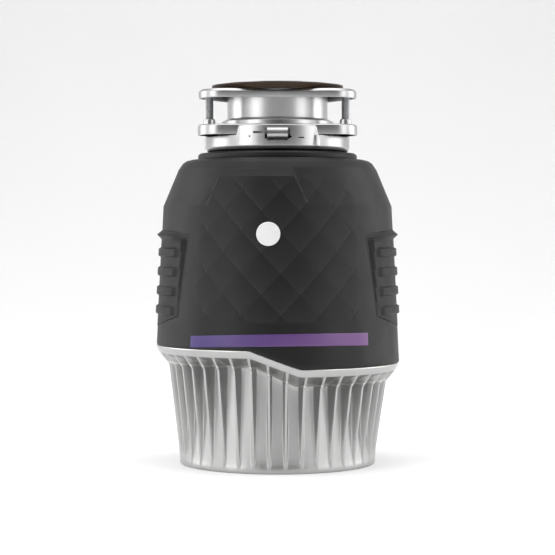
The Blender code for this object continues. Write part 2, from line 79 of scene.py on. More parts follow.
def finish_of(name, colour, rough, metallic=0.0, vary=0.08, rough_vary=0.08, patch=9.0, grain=0.35,
              bump=0.25, depth=0.05, stretch=(1.0, 1.0, 1.0), specular=0.5, coat=0.0, dirt=None,
              fine_colour=0.0, scratches=0.0):
    """A procedural finish. patch and grain are the sizes in mm of the cloudy variation and of the fine relief,
    depth is the relief's height in mm, and stretch lengthens the grain, as in turned or brushed metal."""
    mat = bpy.data.materials.new(name)
    mat.use_nodes = True
    nt = mat.node_tree
    new, link = nt.nodes.new, nt.links.new
    shader = nt.nodes["Principled BSDF"]
    shader.inputs["Metallic"].default_value = metallic
    shader.inputs["Specular IOR Level"].default_value = specular
    shader.inputs["Coat Weight"].default_value = coat
    coords = new("ShaderNodeTexCoord")
    cloud = new("ShaderNodeTexNoise")
    cloud.inputs["Scale"].default_value = 1000.0 / patch
    cloud.inputs["Detail"].default_value = 5.0
    cloud.inputs["Roughness"].default_value = 0.6
    link(coords.outputs["Object"], cloud.inputs["Vector"])
    mapping = new("ShaderNodeMapping")
    mapping.inputs["Scale"].default_value = [1000.0 / grain / s for s in stretch]
    link(coords.outputs["Object"], mapping.inputs["Vector"])
    fine = new("ShaderNodeTexNoise")
    fine.inputs["Scale"].default_value = 1.0
    fine.inputs["Detail"].default_value = 3.0
    link(mapping.outputs["Vector"], fine.inputs["Vector"])
    ramp = new("ShaderNodeMix")
    ramp.data_type = "RGBA"
    ramp.inputs["A"].default_value = (*[c * (1.0 - vary) for c in colour], 1.0)
    ramp.inputs["B"].default_value = (*[min(1.0, c * (1.0 + vary)) for c in colour], 1.0)
    spread = new("ShaderNodeMapRange")
    spread.inputs["From Min"].default_value = 0.3
    spread.inputs["From Max"].default_value = 0.7
    link(cloud.outputs["Fac"], spread.inputs["Value"])
    link(spread.outputs["Result"], ramp.inputs["Factor"])
    colour_out = ramp.outputs["Result"]
    if fine_colour:
        speck = new("ShaderNodeMix")
        speck.data_type = "RGBA"
        speck.blend_type = "MULTIPLY"
        speck.inputs["Factor"].default_value = fine_colour
        link(colour_out, speck.inputs["A"])
        grey = new("ShaderNodeMapRange")
        grey.inputs["From Min"].default_value = 0.35
        grey.inputs["From Max"].default_value = 0.65
        grey.inputs["To Min"].default_value = 0.45
        grey.inputs["To Max"].default_value = 1.0
        link(fine.outputs["Fac"], grey.inputs["Value"])
        link(grey.outputs["Result"], speck.inputs["B"])
        colour_out = speck.outputs["Result"]
    link(colour_out, shader.inputs["Base Color"])
    r = new("ShaderNodeMapRange")
    r.inputs["From Min"].default_value = 0.3
    r.inputs["From Max"].default_value = 0.7
    r.inputs["To Min"].default_value = max(0.03, rough - rough_vary)
    r.inputs["To Max"].default_value = min(1.0, rough + rough_vary)
    if scratches:
        both = new("ShaderNodeMix")
        both.inputs["Factor"].default_value = scratches
        link(cloud.outputs["Fac"], both.inputs["A"])
        link(fine.outputs["Fac"], both.inputs["B"])
        link(both.outputs["Result"], r.inputs["Value"])
    else:
        link(cloud.outputs["Fac"], r.inputs["Value"])
    link(r.outputs["Result"], shader.inputs["Roughness"])
    relief = new("ShaderNodeBump")
    relief.inputs["Strength"].default_value = bump
    relief.inputs["Distance"].default_value = depth * MM
    link(fine.outputs["Fac"], relief.inputs["Height"])
    link(relief.outputs["Normal"], shader.inputs["Normal"])
    mat["base"] = name
    return mat


TURNED = (60.0, 60.0, 1.0)
STEEL = finish_of("stainless_polished", (0.47, 0.47, 0.475), 0.31, 1.0, vary=0.03, rough_vary=0.05, patch=14, grain=0.25,
                  bump=0.10, depth=0.01, stretch=TURNED, scratches=0.5)
STEEL_DULL = finish_of("stainless_rolled", (0.55, 0.55, 0.56), 0.3, 1.0, vary=0.05, rough_vary=0.08, patch=8, grain=0.3,
                       bump=0.15, depth=0.02, stretch=(12.0, 12.0, 1.0), scratches=0.4)
STEEL_IN = finish_of("stainless_drawn", (0.50, 0.50, 0.51), 0.34, 1.0, vary=0.06, rough_vary=0.1, patch=10, grain=0.4,
                     bump=0.2, depth=0.02, stretch=(1.0, 1.0, 20.0), scratches=0.4)
ZINC = finish_of("zinc_plated", (0.34, 0.345, 0.355), 0.34, 1.0, vary=0.1, rough_vary=0.1, patch=3, grain=0.2, bump=0.2, depth=0.02)
CAST = finish_of("cast_aluminium_blasted", (0.47, 0.47, 0.467), 0.38, 1.0, vary=0.05, rough_vary=0.07, patch=16, grain=0.5,
                 bump=0.35, depth=0.035, fine_colour=0.08)
# paler copy of the cast aluminium: painted highlight on the lit lip and rim edges of the casting
CAST_EDGE_HIGHLIGHT = finish_of("cast_aluminium_painted_highlight", (0.66, 0.65, 0.62), 0.36, 1.0, vary=0.05, rough_vary=0.06, patch=10, grain=0.4,
                      bump=0.2, depth=0.02)
CAST_RAW = finish_of("cast_aluminium_raw", (0.50, 0.50, 0.50), 0.55, 1.0, vary=0.1, rough_vary=0.1, patch=6, grain=0.7,
                     bump=0.5, depth=0.08, fine_colour=0.2)
LAMS = finish_of("core_laminations", (0.22, 0.22, 0.23), 0.45, 1.0, vary=0.1, patch=12, grain=0.5, bump=0.6, depth=0.1,
                 stretch=(80.0, 80.0, 1.0), scratches=0.6, fine_colour=0.5)
COPPER = finish_of("enamelled_copper", (0.58, 0.24, 0.10), 0.3, 1.0, vary=0.15, patch=5, grain=0.8, bump=0.8, depth=0.3,
                   stretch=(14.0, 14.0, 1.0), scratches=0.6, fine_colour=0.5)
BRONZE = finish_of("sintered_bronze", (0.52, 0.35, 0.16), 0.42, 1.0, vary=0.1, patch=4, grain=0.3, bump=0.4, depth=0.03, fine_colour=0.3)
BLACK = finish_of("shell_plastic", (0.0125, 0.0125, 0.013), 0.50, 0.0, vary=0.06, rough_vary=0.05, patch=22, grain=0.45,
                  bump=0.30, depth=0.03, specular=0.24)
LABEL = finish_of("label_film", (0.009, 0.009, 0.0095), 0.42, 0.0, vary=0.05, rough_vary=0.04, patch=25, grain=1.2,
                  bump=0.08, depth=0.01, specular=0.25)
GRIP = finish_of("grip_plastic", (0.009, 0.009, 0.0095), 0.55, 0.0, vary=0.08, rough_vary=0.06, patch=12, grain=0.5,
                 bump=0.4, depth=0.04, specular=0.26)
# near-black strip: painted shadow in the groove round the grip pad
SEAM_SHADOW = finish_of("seam_shadow", (0.0015, 0.0015, 0.0015), 0.8, 0.0, vary=0.2, patch=5, grain=0.5, bump=0.2, depth=0.02, specular=0.05)
# darker copy of the grip plastic: painted shade on the sloping wedge at the grip's front edge
GRIP_WEDGE_SHADE = finish_of("grip_plastic_painted_shade", (0.0045, 0.0045, 0.0047), 0.6, 0.0, vary=0.1, patch=10, grain=0.5, bump=0.4, depth=0.04, specular=0.16)
RUBBER = finish_of("moulded_rubber", (0.012, 0.012, 0.013), 0.62, 0.0, vary=0.15, rough_vary=0.1, patch=7, grain=0.6,
                   bump=0.35, depth=0.05)
FIBRE = finish_of("pressed_fibre", (0.050, 0.028, 0.013), 0.60, 0.0, vary=0.25, rough_vary=0.1, patch=2.5, grain=0.35,
                  bump=0.7, depth=0.12, stretch=(6.0, 6.0, 1.0), fine_colour=0.6)
LIGHT = finish_of("opal_diffuser", (0.80, 0.82, 0.86), 0.35, 0.0, vary=0.03, patch=8, grain=0.6, bump=0.1, depth=0.01)
WHITE = finish_of("white_print", (0.74, 0.74, 0.74), 0.42, 0.0, vary=0.03, patch=8, grain=0.5, bump=0.15, depth=0.01)
RED = finish_of("red_plastic", (0.50, 0.02, 0.018), 0.38, 0.0, vary=0.08, patch=3, grain=0.3, bump=0.2, depth=0.02)
GREEN = finish_of("green_lacquer", (0.03, 0.24, 0.07), 0.34, 0.3, vary=0.12, patch=2, grain=0.2, bump=0.2, depth=0.02)
GREY = finish_of("grey_plastic", (0.24, 0.24, 0.25), 0.48, 0.0, vary=0.08, patch=6, grain=0.4, bump=0.3, depth=0.03)
DARK = finish_of("dark_plastic", (0.05, 0.05, 0.055), 0.5, 0.0, vary=0.1, patch=6, grain=0.4, bump=0.3, depth=0.03)
FOAM = finish_of("moulded_foam", (0.17, 0.17, 0.18), 0.92, 0.0, vary=0.15, rough_vary=0.05, patch=6, grain=1.6, bump=1.0,
                 depth=0.5, fine_colour=0.5, specular=0.2)


def violet_print():
    """The trim band's colour runs from violet on the left to mauve on the right."""
    mat = finish_of("violet_print", (0.2, 0.1, 0.3), 0.40, 0.0, vary=0.03, rough_vary=0.04, patch=9, grain=0.5, bump=0.12, depth=0.01)
    nt = mat.node_tree
    new, link = nt.nodes.new, nt.links.new
    shader = nt.nodes["Principled BSDF"]
    coords = [n for n in nt.nodes if n.bl_idname == "ShaderNodeTexCoord"][0]
    split = new("ShaderNodeSeparateXYZ")
    link(coords.outputs["Object"], split.inputs["Vector"])
    run = new("ShaderNodeMapRange")
    run.inputs["From Min"].default_value = -0.076
    run.inputs["From Max"].default_value = 0.076
    link(split.outputs["X"], run.inputs["Value"])
    ramp = new("ShaderNodeValToRGB")
    ramp.color_ramp.elements[0].color = (0.040, 0.022, 0.150, 1)
    ramp.color_ramp.elements[1].color = (0.150, 0.060, 0.195, 1)
    link(run.outputs["Result"], ramp.inputs["Fac"])
    grain = [n for n in nt.nodes if n.bl_idname == "ShaderNodeTexNoise"][0]
    tone = new("ShaderNodeMapRange")
    tone.inputs["To Min"].default_value = 0.92
    tone.inputs["To Max"].default_value = 1.05
    link(grain.outputs["Fac"], tone.inputs["Value"])
    mul = new("ShaderNodeMix")
    mul.data_type = "RGBA"
    mul.blend_type = "MULTIPLY"
    mul.inputs["Factor"].default_value = 1.0
    link(ramp.outputs["Color"], mul.inputs["A"])
    link(tone.outputs["Result"], mul.inputs["B"])
    link(mul.outputs["Result"], shader.inputs["Base Color"])
    return mat


VIOLET = violet_print()


def tone_diamonds(mat):
    """Each scale of the moulded pattern is darker at its top point and paler at its lower one."""
    nt = mat.node_tree
    new, link = nt.nodes.new, nt.links.new

    def calc(op, a, b=None, c=None, clamp=False):
        node = new("ShaderNodeMath")
        node.operation = op
        node.use_clamp = clamp
        for socket, value in zip(node.inputs, (a, b, c)):
            if value is None:
                continue
            if isinstance(value, (int, float)):
                socket.default_value = value
            else:
                link(value, socket)
        return node.outputs[0]

    shader = nt.nodes["Principled BSDF"]
    coords = [n for n in nt.nodes if n.bl_idname == "ShaderNodeTexCoord"][0]
    split = new("ShaderNodeSeparateXYZ")
    link(coords.outputs["Object"], split.inputs["Vector"])
    back = calc("MULTIPLY", split.outputs["Y"], -1.0)
    deg = calc("MULTIPLY", calc("ARCTAN2", split.outputs["X"], back), 180.0 / math.pi)
    dx = calc("DIVIDE", calc("SUBTRACT", deg, 1.4), 9.0)
    dy = calc("DIVIDE", calc("SUBTRACT", 0.231, split.outputs["Z"]), 0.01685)
    s = calc("FRACT", calc("MULTIPLY", calc("ADD", dx, dy), 0.5))
    t = calc("FRACT", calc("MULTIPLY", calc("SUBTRACT", dy, dx), 0.5))
    tone = calc("MULTIPLY_ADD", calc("ADD", s, t), 0.42, -0.42)
    turn = calc("ABSOLUTE", deg)
    fold = calc("MINIMUM", turn, calc("SUBTRACT", 180.0, turn))
    side = calc("DIVIDE", calc("SUBTRACT", 44.0, fold), 8.0, clamp=True)
    low = calc("DIVIDE", calc("SUBTRACT", split.outputs["Z"], 0.1235), 0.003, clamp=True)
    high = calc("DIVIDE", calc("SUBTRACT", 0.243, split.outputs["Z"]), 0.010, clamp=True)
    gate = calc("MULTIPLY", calc("MULTIPLY", side, low), high)
    factor = calc("MULTIPLY_ADD", tone, gate, 1.0)
    old = shader.inputs["Base Color"].links[0].from_socket
    scale = new("ShaderNodeVectorMath")
    scale.operation = "SCALE"
    link(old, scale.inputs[0])
    link(factor, scale.inputs["Scale"])
    link(scale.outputs["Vector"], shader.inputs["Base Color"])


tone_diamonds(BLACK)

# ------------------------------------------------------------------ mesh tools


def piece(name, points, faces, mats, body, nodes=(), slot=None, sharp=34.0, index=None, weld=False, bevel=None):
    mesh = bpy.data.meshes.new(name)
    mesh.from_pydata((np.asarray(points, float) * MM).tolist(), [], [tuple(int(v) for v in f) for f in faces])
    mats = list(mats) if isinstance(mats, (list, tuple)) else [mats]
    for m in mats:
        mesh.materials.append(m)
    if index is not None:
        mesh.polygons.foreach_set("material_index", np.asarray(index, np.int32))
    work = bmesh.new()
    work.from_mesh(mesh)
    if weld:
        bmesh.ops.remove_doubles(work, verts=work.verts, dist=1e-6)
        bmesh.ops.dissolve_degenerate(work, edges=work.edges, dist=1e-7)
    bmesh.ops.recalc_face_normals(work, faces=work.faces)
    work.to_mesh(mesh)
    work.free()
    mesh.shade_smooth()
    mesh.set_sharp_from_angle(angle=math.radians(sharp))
    obj = bpy.data.objects.new(name, mesh)
    bpy.context.scene.collection.objects.link(obj)
    if bevel:
        add_bevel(obj, bevel)
    if body:
        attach(obj, body)
    if nodes:
        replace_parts(obj, *nodes)
    if slot:
        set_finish(obj, slot)
    return obj


def add_bevel(obj, width, segments=2, angle=32.0):
    mod = obj.modifiers.new("edge", "BEVEL")
    mod.width = width * MM
    mod.segments = segments
    mod.limit_method = "ANGLE"
    mod.angle_limit = math.radians(angle)
    mod.miter_outer = "MITER_ARC"
    mod.use_clamp_overlap = True
    mod.harden_normals = False
    return mod


def turned(angles, profile, centre=(0.0, 0.0)):
    """Points and faces of a closed ring: profile(angle) gives (r, z) pairs, as many for every angle."""
    at = profile if callable(profile) else (lambda _a: profile)
    loops = [at(a) for a in angles]
    n, m = len(loops[0]), len(angles)
    pts = []
    for a, loop in zip(angles, loops):
        c, s = math.cos(math.radians(a)), math.sin(math.radians(a))
        pts += [(centre[0] + r * c, centre[1] + r * s, z) for r, z in loop]
    faces = []
    for i in range(m):
        j = (i + 1) % m
        for k in range(n):
            q = (k + 1) % n
            faces.append((i * n + k, i * n + q, j * n + q, j * n + k))
    return pts, faces


def rounded(loop, radius, steps=3):
    """A closed (r, z) loop with its corners rounded, always by the same number of points. radius may be a list."""
    out, n = [], len(loop)
    for i in range(n):
        p, c, q = (np.array(loop[(i + d) % n], float) for d in (-1, 0, 1))
        rad = radius[i] if isinstance(radius, (list, tuple)) else radius
        u, v = p - c, q - c
        lu, lv = np.linalg.norm(u), np.linalg.norm(v)
        if lu < 1e-9 or lv < 1e-9 or rad <= 0:
            out += [tuple(c)] * (steps + 1)
            continue
        u, v = u / lu, v / lv
        half = math.acos(max(-1.0, min(1.0, float(u @ v)))) / 2.0
        d = min(rad / max(1e-3, math.tan(half)), 0.45 * lu, 0.45 * lv)
        a, b = c + u * d, c + v * d
        for k in range(steps + 1):
            t = k / steps
            out.append(tuple((1 - t) ** 2 * a + 2 * t * (1 - t) * c + t * t * b))
    return out


def even(n, start=0.0):
    return [start + 360.0 * i / n for i in range(n)]


def bearing(a):
    return (a + 90.0 + 180.0) % 360.0 - 180.0


def mix(a, b, t):
    return a + (b - a) * min(1.0, max(0.0, t))


def smooth(t):
    t = min(1.0, max(0.0, t))
    return t * t * (3.0 - 2.0 * t)


def rod_points(r, z0, z1, centre, count=32, chamfer=0.0):
    loop = [(0.0, z0), (r - chamfer, z0), (r, z0 + chamfer), (r, z1 - chamfer), (r - chamfer, z1), (0.0, z1)]
    return turned(even(count, 1.3), loop, centre)


def cutter(points, faces, name="cutter"):
    mesh = bpy.data.meshes.new(name)
    mesh.from_pydata((np.asarray(points, float) * MM).tolist(), [], faces)
    work = bmesh.new()
    work.from_mesh(mesh)
    bmesh.ops.remove_doubles(work, verts=work.verts, dist=1e-6)
    bmesh.ops.recalc_face_normals(work, faces=work.faces)
    work.to_mesh(mesh)
    work.free()
    obj = bpy.data.objects.new(name, mesh)
    bpy.context.scene.collection.objects.link(obj)
    return obj


def box_points(low, high):
    (a, b, c), (d, e, f) = low, high
    pts = [(x, y, z) for z in (c, f) for x, y in ((a, b), (d, b), (d, e), (a, e))]
    return pts, [(0, 1, 2, 3), (4, 5, 6, 7), (0, 1, 5, 4), (1, 2, 6, 5), (2, 3, 7, 6), (3, 0, 4, 7)]


def tube_shape(centre, along, length, radius, count=28, inner=None):
    """A tube or rod lying level, as points and faces."""
    ux, uy = along
    side = (-uy, ux)
    pts, faces = [], []
    rings = [(-length / 2, radius), (length / 2, radius)]
    if inner is not None:
        rings = [(-length / 2, inner), (-length / 2, radius), (length / 2, radius), (length / 2, inner)]
    for t, r in rings:
        for i in range(count):
            a = math.radians(360.0 * i / count)
            o = r * math.cos(a)
            pts.append((centre[0] + ux * t + side[0] * o, centre[1] + uy * t + side[1] * o, centre[2] + r * math.sin(a)))
    n = len(rings)
    for k in range(n if inner is not None else n - 1):
        q = (k + 1) % n
        for i in range(count):
            j = (i + 1) % count
            faces.append((k * count + i, k * count + j, q * count + j, q * count + i))
    if inner is None:
        faces += [tuple(range(count)), tuple(range(count, 2 * count))]
    return pts, faces


def apply_boolean(obj, others, operation="DIFFERENCE"):
    """The result of the booleans becomes the mesh, and the helpers are removed."""
    for other in others:
        mod = obj.modifiers.new("b", "BOOLEAN")
        mod.operation = operation
        mod.solver = "EXACT"
        mod.object = other
    bpy.context.view_layer.update()
    deps = bpy.context.evaluated_depsgraph_get()
    mesh = bpy.data.meshes.new_from_object(obj.evaluated_get(deps))
    obj.modifiers.clear()
    obj.data = mesh
    for other in others:
        bpy.data.objects.remove(other, do_unlink=True)
    return obj


def resmooth(obj, sharp=34.0):
    obj.data.shade_smooth()
    obj.data.set_sharp_from_angle(angle=math.radians(sharp))


def combine(shapes):
    """Several (points, faces) sets as one."""
    pts, faces = [], []
    for p, f in shapes:
        base = len(pts)
        pts += list(p)
        faces += [tuple(base + v for v in q) for q in f]
    return pts, faces


# ------------------------------------------------------------------ shared outlines, mm
EDGE_LEFT, EDGE_RIGHT = 101.6, 86.5
LOBES = (90.0, 210.0, 330.0)


def edge_z(a):
    p = bearing(a)
    if abs(p) > 90.0:
        p = math.copysign(180.0, p) - p
    t = (p + 12.6) / 22.9
    soft = 0.06
    if -soft < t < soft:
        t = (t + soft) ** 2 / (4 * soft)
    elif 1 - soft < t < 1 + soft:
        t = 1 - (1 + soft - t) ** 2 / (4 * soft)
    return mix(EDGE_LEFT, EDGE_RIGHT, t)


def draft_r(z):
    return 103.5 + (97.8 - 103.5) * (z - 102.0) / 117.0


def shoulder_r(z):
    knots = [(219.0, 97.8), (242.0, 88.3), (250.0, 85.0), (252.4, 83.4), (255.6, 81.2), (257.6, 78.3), (258.7, 74.0)]
    if z <= 219.0:
        return draft_r(z)
    for (z0, r0), (z1, r1) in zip(knots, knots[1:]):
        if z <= z1:
            return mix(r0, r1, (z - z0) / (z1 - z0))
    return knots[-1][1]


WINDOW_MID = -10.9


def window_half(z):
    return mix(25.5, 16.9, (z - 219.0) / 29.7)


def shell_r(p, z):
    r = shoulder_r(z)
    if 219.0 < z <= 249.6:
        off = max(0.0, abs(p - WINDOW_MID) - window_half(z))
        r = max(r, draft_r(z) - 3.8 * off - 0.55 * max(0.0, z - 242.2) - 6.0 * max(0.0, z - 248.8))
    return r


def lobed_r(a, corner_c, corner_r, least=0.0):
    d = min(abs((a - lobe + 180.0) % 360.0 - 180.0) for lobe in LOBES)
    t = math.radians(60.0 - d)
    flat = corner_c / 2 + corner_r
    if math.tan(t) * flat <= corner_c * math.sin(math.radians(60.0)):
        r = flat / math.cos(t)
    else:
        e = math.radians(d)
        r = corner_c * math.cos(e) + math.sqrt(corner_r**2 - (corner_c * math.sin(e)) ** 2)
    return max(r, least)


# ------------------------------------------------------------------ ribbed casting
FIN_AT = [-4.5, -3.4, -2.2, -1.5, -1.2, -1.02, -0.70, -0.58, -0.40, 0.0, 0.40, 0.58, 0.70, 1.02, 1.2, 1.5, 2.2, 3.4]
FIN_W = [0.0, 0.0, 0.0, 0.02, 0.10, 0.25, 0.93, 0.985, 1.0, 1.0, 1.0, 0.985, 0.93, 0.25, 0.10, 0.02, 0.0, 0.0]
fin_angles, fin_weight = [], {}
for k in range(40):
    for d, w in zip(FIN_AT, FIN_W):
        a = round(4.5 + 9.0 * k + d, 4)
        fin_angles.append(a)
        fin_weight[a] = w


def casting(a):
    e, w = edge_z(a), fin_weight[a]

    def both(fin, core):
        return (mix(core[0], fin[0], w), mix(core[1], fin[1], w))

    rows = [(75.6, 0.25), (75.9, 0.0), (82.4, 0.0), (83.1, 0.35), (83.5, 1.1), (83.6, 2.2), (83.6, 4.3)]
    rows += [
        both((83.65, 5.0), (83.5, 5.0)), both((83.7, 6.0), (83.4, 6.0)), both((83.8, 7.2), (83.25, 7.2)),
        both((83.95, 8.8), (83.12, 8.8)), both((84.1, 10.6), (83.0, 10.6)), both((84.25, 13.0), (82.85, 13.0)),
    ]
    top = e - 20.0
    for t in (0.2, 0.4, 0.6, 0.8, 1.0):
        z = mix(13.0, top, t)
        rows.append(both((mix(84.25, 92.4, t), z), (82.85 - 1.35 * t, z)))
    rows += [
        both((92.9, e - 17.0), (81.7, e - 16.4)), both((93.6, e - 16.0), (81.9, e - 15.4)),
        both((94.2, e - 15.2), (83.2, e - 15.1)), both((94.7, e - 14.5), (83.7, e - 14.7)),
        both((95.6, e - 13.4), (83.5, e - 14.0)), both((97.9, e - 10.6), (88.5, e - 11.4)),
        both((99.6, e - 8.4), (94.0, e - 9.0)), both((100.5, e - 7.0), (98.8, e - 7.0)),
        (101.1, e - 6.4), (101.6, e - 5.7), (102.0, e - 4.8), (102.5, e - 3.8), (103.0, e - 2.6), (103.4, e - 1.6),
        (103.6, e - 0.8), (103.45, e - 0.3), (102.9, e + 0.02),
        (97.5, e + 0.05), (97.4, 119.6), (96.8, 120.0), (83.0, 120.0), (83.0, 107.0), (77.5, 105.0), (77.5, 48.0),
        (75.4, 48.0), (75.0, 11.0), (74.6, 10.6), (15.0, 10.6), (14.5, 11.0), (14.5, 24.0), (14.2, 24.3), (9.6, 24.3), (9.4, 24.1),
        (9.4, 9.3), (0.0, 9.3), (0.0, 7.0), (74.4, 7.0), (75.2, 6.4), (75.4, 5.4),
    ]
    return rows


pts, faces = turned(fin_angles, casting)
n = len(casting(fin_angles[0]))
# the small lip under the fin ceiling and the rounded bottom rim get the paler copy: painted highlight
painted_highlight_faces = {20, 21, 32, 33, 34}
index = [1 if k in painted_highlight_faces else 0 for _i in range(len(fin_angles)) for k in range(n)]
casting_obj = piece("housing_casting", pts, faces, [CAST, CAST_EDGE_HIGHLIGHT], None, index=index, weld=True, sharp=38)
holes = [cutter(*rod_points(5.0, -3, 12, (-30, -45))), cutter(*rod_points(11.1, -3, 14, (40, 30), 48)),
         cutter(*rod_points(2.7, -3, 14, (60, -4), 20)), cutter(*rod_points(2.1, -3, 14, (29, -53), 20)),
         cutter(*box_points((17, -48, -3), (41, -30, 14)))]
apply_boolean(casting_obj, holes)
resmooth(casting_obj, 38)
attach(casting_obj, "housing")
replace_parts(casting_obj, "motor_housing")
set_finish(casting_obj, "cast_aluminium")

# ------------------------------------------------------------------ shell
GRIP_EDGE_TOP, GRIP_EDGE_LOW = 46.4, 52.6      # bearing of the grip's front edge at z 192 and z 127
GRIP_Z_LOW = 116.6


def grip_edge(z):
    return mix(GRIP_EDGE_LOW, GRIP_EDGE_TOP, (z - 127.0) / 65.0)


def grip_top(p):
    """Height of the grip's upper outline at a bearing."""
    d = abs(abs(p) - 90.0)
    return 199.6 - 4.2 * (min(d, 44.0) / 44.0) ** 2


def grip_low(p):
    return GRIP_Z_LOW + 10.2 * (min(abs(abs(p) - 90.0), 38.0) / 38.0) ** 1.65


def warp_window(p, z):
    u = p - WINDOW_MID
    half = window_half(max(219.0, min(248.7, z)))
    v, side = abs(u), math.copysign(1.0, u)
    if v <= 15.0:
        return p
    if v <= 25.5:
        return WINDOW_MID + side * mix(15.0, half, (v - 15.0) / 10.5)
    if v <= 28.5:
        return WINDOW_MID + side * (half + (v - 25.5))
    if v <= 60.0:
        return WINDOW_MID + side * mix(half + 3.0, 60.0, (v - 28.5) / 31.5)
    return p


def warp_grip(p, z):
    """Moves the columns near the grip's front and back edges onto those edges."""
    m = abs(p)
    back = m > 90.0
    f = 180.0 - m if back else m
    shift = grip_edge(z) - 50.0
    if 38.0 < f < 62.0:
        t = 1.0 - max(0.0, abs(f - 50.0) - 1.5) / 10.5
        f += shift * t
    m = 180.0 - f if back else f
    return math.copysign(m, p)


LATTICE_P, LATTICE_Z, LATTICE_STEP = 1.4, 231.0, 16.85


def lattice(p, z):
    """Relief of the scale pattern, mm: each diamond tilts outwards towards its lower point."""
    dx = (p - LATTICE_P) / 9.0
    dy = (LATTICE_Z - z) / LATTICE_STEP
    s = ((dx + dy) % 2.0) / 2.0
    t = ((dy - dx) % 2.0) / 2.0
    s = 0.0 if s > 0.995 or s < 0.005 else s
    t = 0.0 if t > 0.995 or t < 0.005 else t
    edge = s == 0.0 or t == 0.0
    h = -0.04 if edge else 0.03 + 0.36 * (s + t) / 2.0
    f = min(abs(p), 180.0 - abs(p))
    fade = 1.0 - smooth((f - 39.0) / 5.0)
    low = smooth((z - 124.0) / 2.0)
    high = 1.0 - smooth((z - 240.0) / 4.0)
    return h * fade * low * high


SHELL_P = [LATTICE_P - 180.0 + i for i in range(360)]
LAT_ROW = LATTICE_STEP / 9.0


def shell_column(p):
    a = p - 90.0
    e = edge_z(a) + 0.3
    rows = []
    # inner lower lip and bottom edge
    low = [(draft_r(e) - 2.6, e), (draft_r(e) - 0.5, e), (draft_r(e) - 0.12, e + 0.12), (draft_r(e), e + 0.5)]
    rows += [(p, r, z) for r, z in low]
    for t in (0.1, 0.25, 0.42, 0.6, 0.78, 0.94):
        z = mix(e + 0.5, 117.0, t)
        rows.append((warp_grip(p, z), None, z))
    z = 118.68
    j0 = 60
    for j in range(j0, -1, -1):
        z = LATTICE_Z - LAT_ROW * j
        if z < 217.0:
            rows.append((warp_grip(p, z) if z < 206 else p, None, z))
    upper = sorted([218.9, 242.4, 247.6, 248.6] + [LATTICE_Z - LAT_ROW * j for j in range(7, -9, -1)])
    for z in [z for z in upper if z > 217.0] + [249.2, 250.0, 251.2, 252.4, 254.0, 255.6, 256.6, 257.6, 258.2, 258.6]:
        rows.append((warp_window(p, z), None, z))
    rows += [(p, 73.0, 258.7), (p, 67.0, 258.7), (p, 66.6, 258.5), (p, 66.5, 258.2), (p, 66.5, 256.0), (p, 77.0, 255.6)]
    for z in (248.7, 219.0):
        rows.append((p, shoulder_r(z) - 3.6, z - 0.8))
    rows.append((p, draft_r(e) - 4.0, e + 3.0))
    return rows


def in_grip(p, z, grow=0.0):
    f = abs(p)
    f = 180.0 - f if f > 90.0 else f
    return f > grip_edge(z) - grow and grip_low(p) - grow < z < grip_top(p) + grow


def shell_points():
    pts, idx = [], []
    columns = [shell_column(p) for p in SHELL_P]
    n = len(columns[0])
    for col in columns:
        for p, r, z in col:
            if r is None:
                r = shell_r(p, z) + (lattice(p, z) if z < 246 else 0.0)
                if in_grip(p, z, -2.2):
                    r = draft_r(z) - 1.4
            a = math.radians(p - 90.0)
            pts.append((r * math.cos(a), r * math.sin(a), z))
    m = len(columns)
    faces = []
    for i in range(m):
        j = (i + 1) % m
        for k in range(n):
            q = (k + 1) % n
            c = (i * n + k, i * n + q, j * n + q, j * n + k)
            # split each square along the pattern's own diagonal
            mid = (LATTICE_Z - (columns[i][k][2] + columns[i][q][2]) / 2) / LAT_ROW
            if -8.0 < mid < 60.0 and k > 9:
                row = int(math.floor(mid))
                if (i + row) % 2 == 1:
                    faces += [(c[0], c[1], c[2]), (c[0], c[2], c[3])]
                else:
                    faces += [(c[0], c[1], c[3]), (c[1], c[2], c[3])]
                for _ in range(2):
                    idx.append(label_here(columns[i], columns[j], k, q))
            else:
                faces.append(c)
                idx.append(label_here(columns[i], columns[j], k, q))
    return pts, faces, idx


def label_here(ci, cj, k, q):
    p = (ci[k][0] + cj[k][0]) / 2
    z = (ci[k][2] + ci[q][2]) / 2
    return 1 if -44.0 < p < 46.9 and z < 124.3 and ci[k][1] is None else 0


pts, faces, index = shell_points()
shell_obj = piece("shell_cover", pts, faces, [BLACK, LABEL], None, index=index, sharp=24)
IN_X, IN_Y = math.cos(math.radians(125.0)), math.sin(math.radians(125.0))
apply_boolean(shell_obj, [cutter(*tube_shape((0.0, 98.0, 146.3), (0.0, 1.0), 30.0, 22.0, 64)),
                          cutter(*tube_shape((96.0 * IN_X, 96.0 * IN_Y, 205.0), (IN_X, IN_Y), 24.0, 13.0, 48))])
resmooth(shell_obj, 24)
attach(shell_obj, "housing")
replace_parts(shell_obj, "outer_shell")
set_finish(shell_obj, "black_plastic")

# ------------------------------------------------------------------ side grips
BARS = [(177.2, 183.6), (160.9, 167.5), (144.7, 151.2), (128.6, 135.0)]


def grip_height(f, z, p):
    """How far the grip stands off the barrel. f is the bearing from the front or back, 45 to 90."""
    e = grip_edge(z)
    top = grip_top(p)
    pad = 53.6
    h = mix(-1.1, 0.35, (f - e - 0.4) / max(0.8, pad - e - 0.4))
    for low, high in BARS:
        start = 57.2 + (176.0 - z) * 0.03
        across = smooth((f - start + 2.2) / 2.8)
        if across > 0 and low - 1.2 < z < high + 0.9:
            rise = smooth((z - low + 1.2) / 1.5) * (1.0 - smooth((z - high + 0.6) / 1.5))
            h = max(h, 0.35 + 1.95 * rise * across)
    # overhanging lip under the upper outline
    u = top - z
    along = smooth((f - 47.5) / 14.0)
    tip = 4.4 * along
    if u < 8.2:
        if u > 4.4:
            h = max(h, mix(0.35, tip, (8.2 - u) / 3.8)) if f > pad - 2 else h
        else:
            h = max(h, mix(-0.6, tip, u / 4.4))
    return h


